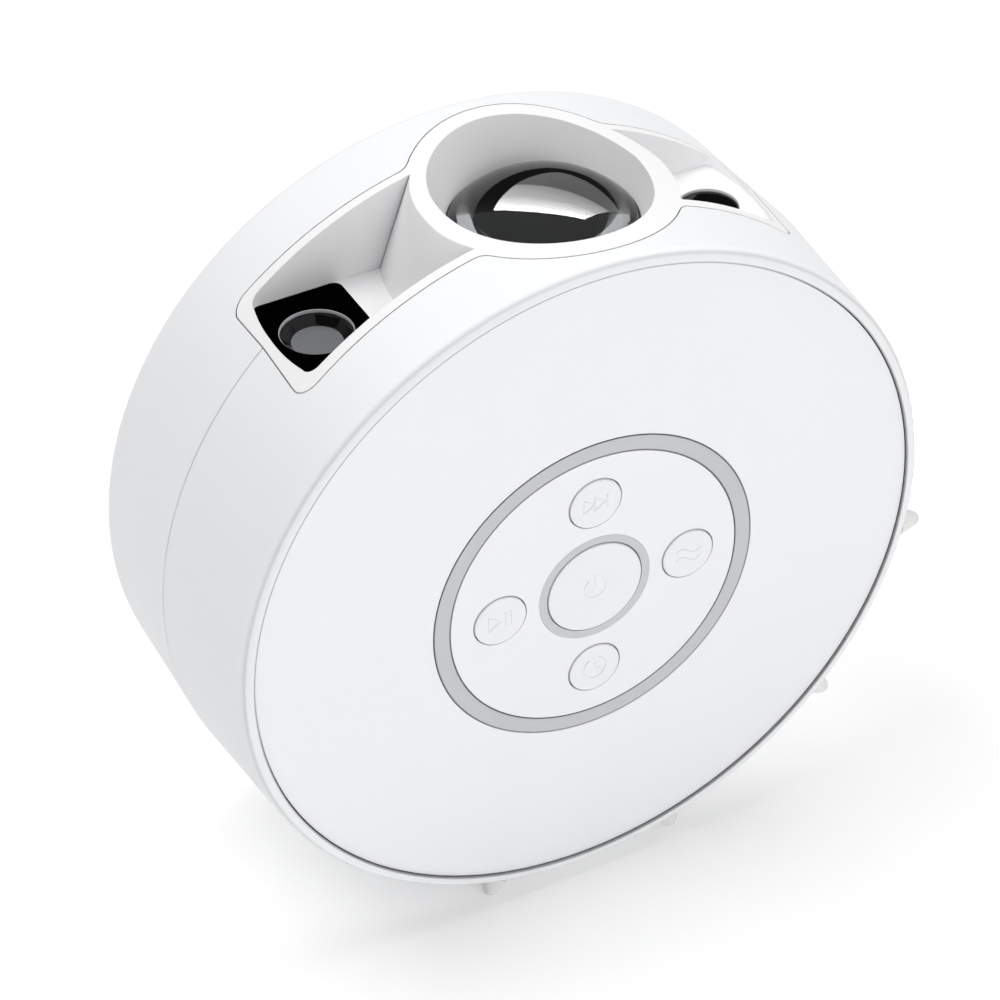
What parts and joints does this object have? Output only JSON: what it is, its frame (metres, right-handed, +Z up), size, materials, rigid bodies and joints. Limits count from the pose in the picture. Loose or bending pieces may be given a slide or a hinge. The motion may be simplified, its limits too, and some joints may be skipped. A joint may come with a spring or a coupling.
{
  "type": "planetarium projector",
  "caption": "White drum-shaped star projector that stands on its edge, with a domed lens and two light pockets in a trim on top and a round keypad on the front.",
  "frame": {"origin": "on the table under the middle of the drum", "axes": "+X to the right seen from the front, +Y from the keypad towards the back wall, +Z up along the lens axis"},
  "size_m": [0.1672, 0.0669, 0.1654],
  "materials": {
    "white_shell": "fine satin moulding texture",
    "white_panel": "smooth satin",
    "white_trim": "smooth satin",
    "light_diffuser": "frosted translucent",
    "keypad_white": "smooth satin",
    "key_white": "smooth satin with faint raised symbols",
    "ring_grey": "flat",
    "lens_glass": "polished and coated",
    "barrel_black": "matt",
    "wave_glass": "rippled",
    "plate_black": "glossy",
    "nose_black": "satin",
    "window_grey": "smoked window",
    "window_dark": "infrared filter",
    "foot_silicone": "matt silicone",
    "gear_plastic": "self-lubricating plastic",
    "frame_black": "glass-filled, matt",
    "motor_steel": "plated can",
    "shaft_steel": "ground",
    "heatsink_aluminium": "extruded",
    "board_green": "solder mask",
    "board_white": "white solder mask",
    "part_black": "moulded chips and cans",
    "led_yellow": "phosphor",
    "laser_brass": "turned",
    "grating_film": "diffraction film",
    "screw_steel": "zinc plated",
    "inlet_steel": "stamped"
  },
  "bodies": {
    "housing": {"front_shell": "white_shell", "rear_shell": "white_shell", "face_panel": "white_panel", "light_ring": "light_diffuser", "keypad_plate": "keypad_white", "power_ring": "ring_grey", "lens_bezel": "white_trim", "projection_lens": "lens_glass", "lens_barrel": "barrel_black", "laser_panel": "plate_black", "laser_nose": "nose_black", "laser_window": "window_grey", "ir_window": "window_dark", "front_feet": "foot_silicone", "rear_feet": "foot_silicone", "ripple_plate": "wave_glass", "ripple_motor": "motor_steel", "optics_base": "frame_black", "condenser_lens": "lens_glass", "led_board": "board_white", "led_emitters": "led_yellow", "led_heatsink": "heatsink_aluminium", "laser_module": "laser_brass", "laser_bracket": "frame_black", "grating_motor": "motor_steel", "ir_receiver": "part_black", "keypad_board": "board_green", "keypad_switches": "part_black", "ring_leds": "led_yellow", "main_board": "board_green", "board_components": "part_black", "power_inlet": "inlet_steel", "case_screws": "screw_steel", "panel_screws": "screw_steel", "keypad_screws": "screw_steel", "optics_screws": "screw_steel", "board_screws": "screw_steel"},
    "wave_wheel": {"ripple_gear": "gear_plastic", "ripple_glass": "wave_glass"},
    "wave_pinion": {"ripple_pinion": "gear_plastic", "ripple_shaft": "shaft_steel"},
    "grating": {"grating_disc": "grating_film", "grating_shaft": "shaft_steel"},
    "power_key": {"power_button": "key_white"},
    "play_key": {"play_button": "key_white"},
    "next_key": {"next_button": "key_white"},
    "mode_key": {"mode_button": "key_white"},
    "timer_key": {"timer_button": "key_white"}
  },
  "joints": [
    {"name": "power_press", "type": "slide", "parent": "housing", "child": "power_key", "axis": [0, 1, 0], "range_m": [0, 0.0005], "stiffness_N_per_m": 3000},
    {"name": "play_press", "type": "slide", "parent": "housing", "child": "play_key", "axis": [0, 1, 0], "range_m": [0, 0.0005], "stiffness_N_per_m": 3000},
    {"name": "next_press", "type": "slide", "parent": "housing", "child": "next_key", "axis": [0, 1, 0], "range_m": [0, 0.0005], "stiffness_N_per_m": 3000},
    {"name": "mode_press", "type": "slide", "parent": "housing", "child": "mode_key", "axis": [0, 1, 0], "range_m": [0, 0.0005], "stiffness_N_per_m": 3000},
    {"name": "timer_press", "type": "slide", "parent": "housing", "child": "timer_key", "axis": [0, 1, 0], "range_m": [0, 0.0005], "stiffness_N_per_m": 3000},
    {"name": "wave_wheel_spin", "type": "hinge", "parent": "housing", "child": "wave_wheel", "pos_m": [0.0062, 0, 0.11661], "axis": [0, 0, 1], "continuous": true},
    {"name": "wave_pinion_spin", "type": "hinge", "parent": "housing", "child": "wave_pinion", "pos_m": [0.035, 0, 0.11661], "axis": [0, 0, 1], "continuous": true},
    {"name": "grating_spin", "type": "hinge", "parent": "housing", "child": "grating", "pos_m": [-0.0372, 0.0102, 0.12921], "axis": [0, 0, 1], "continuous": true}
  ],
  "couplings": [
    {"joint": "wave_pinion_spin", "follows": "wave_wheel_spin", "ratio": -5}
  ]
}
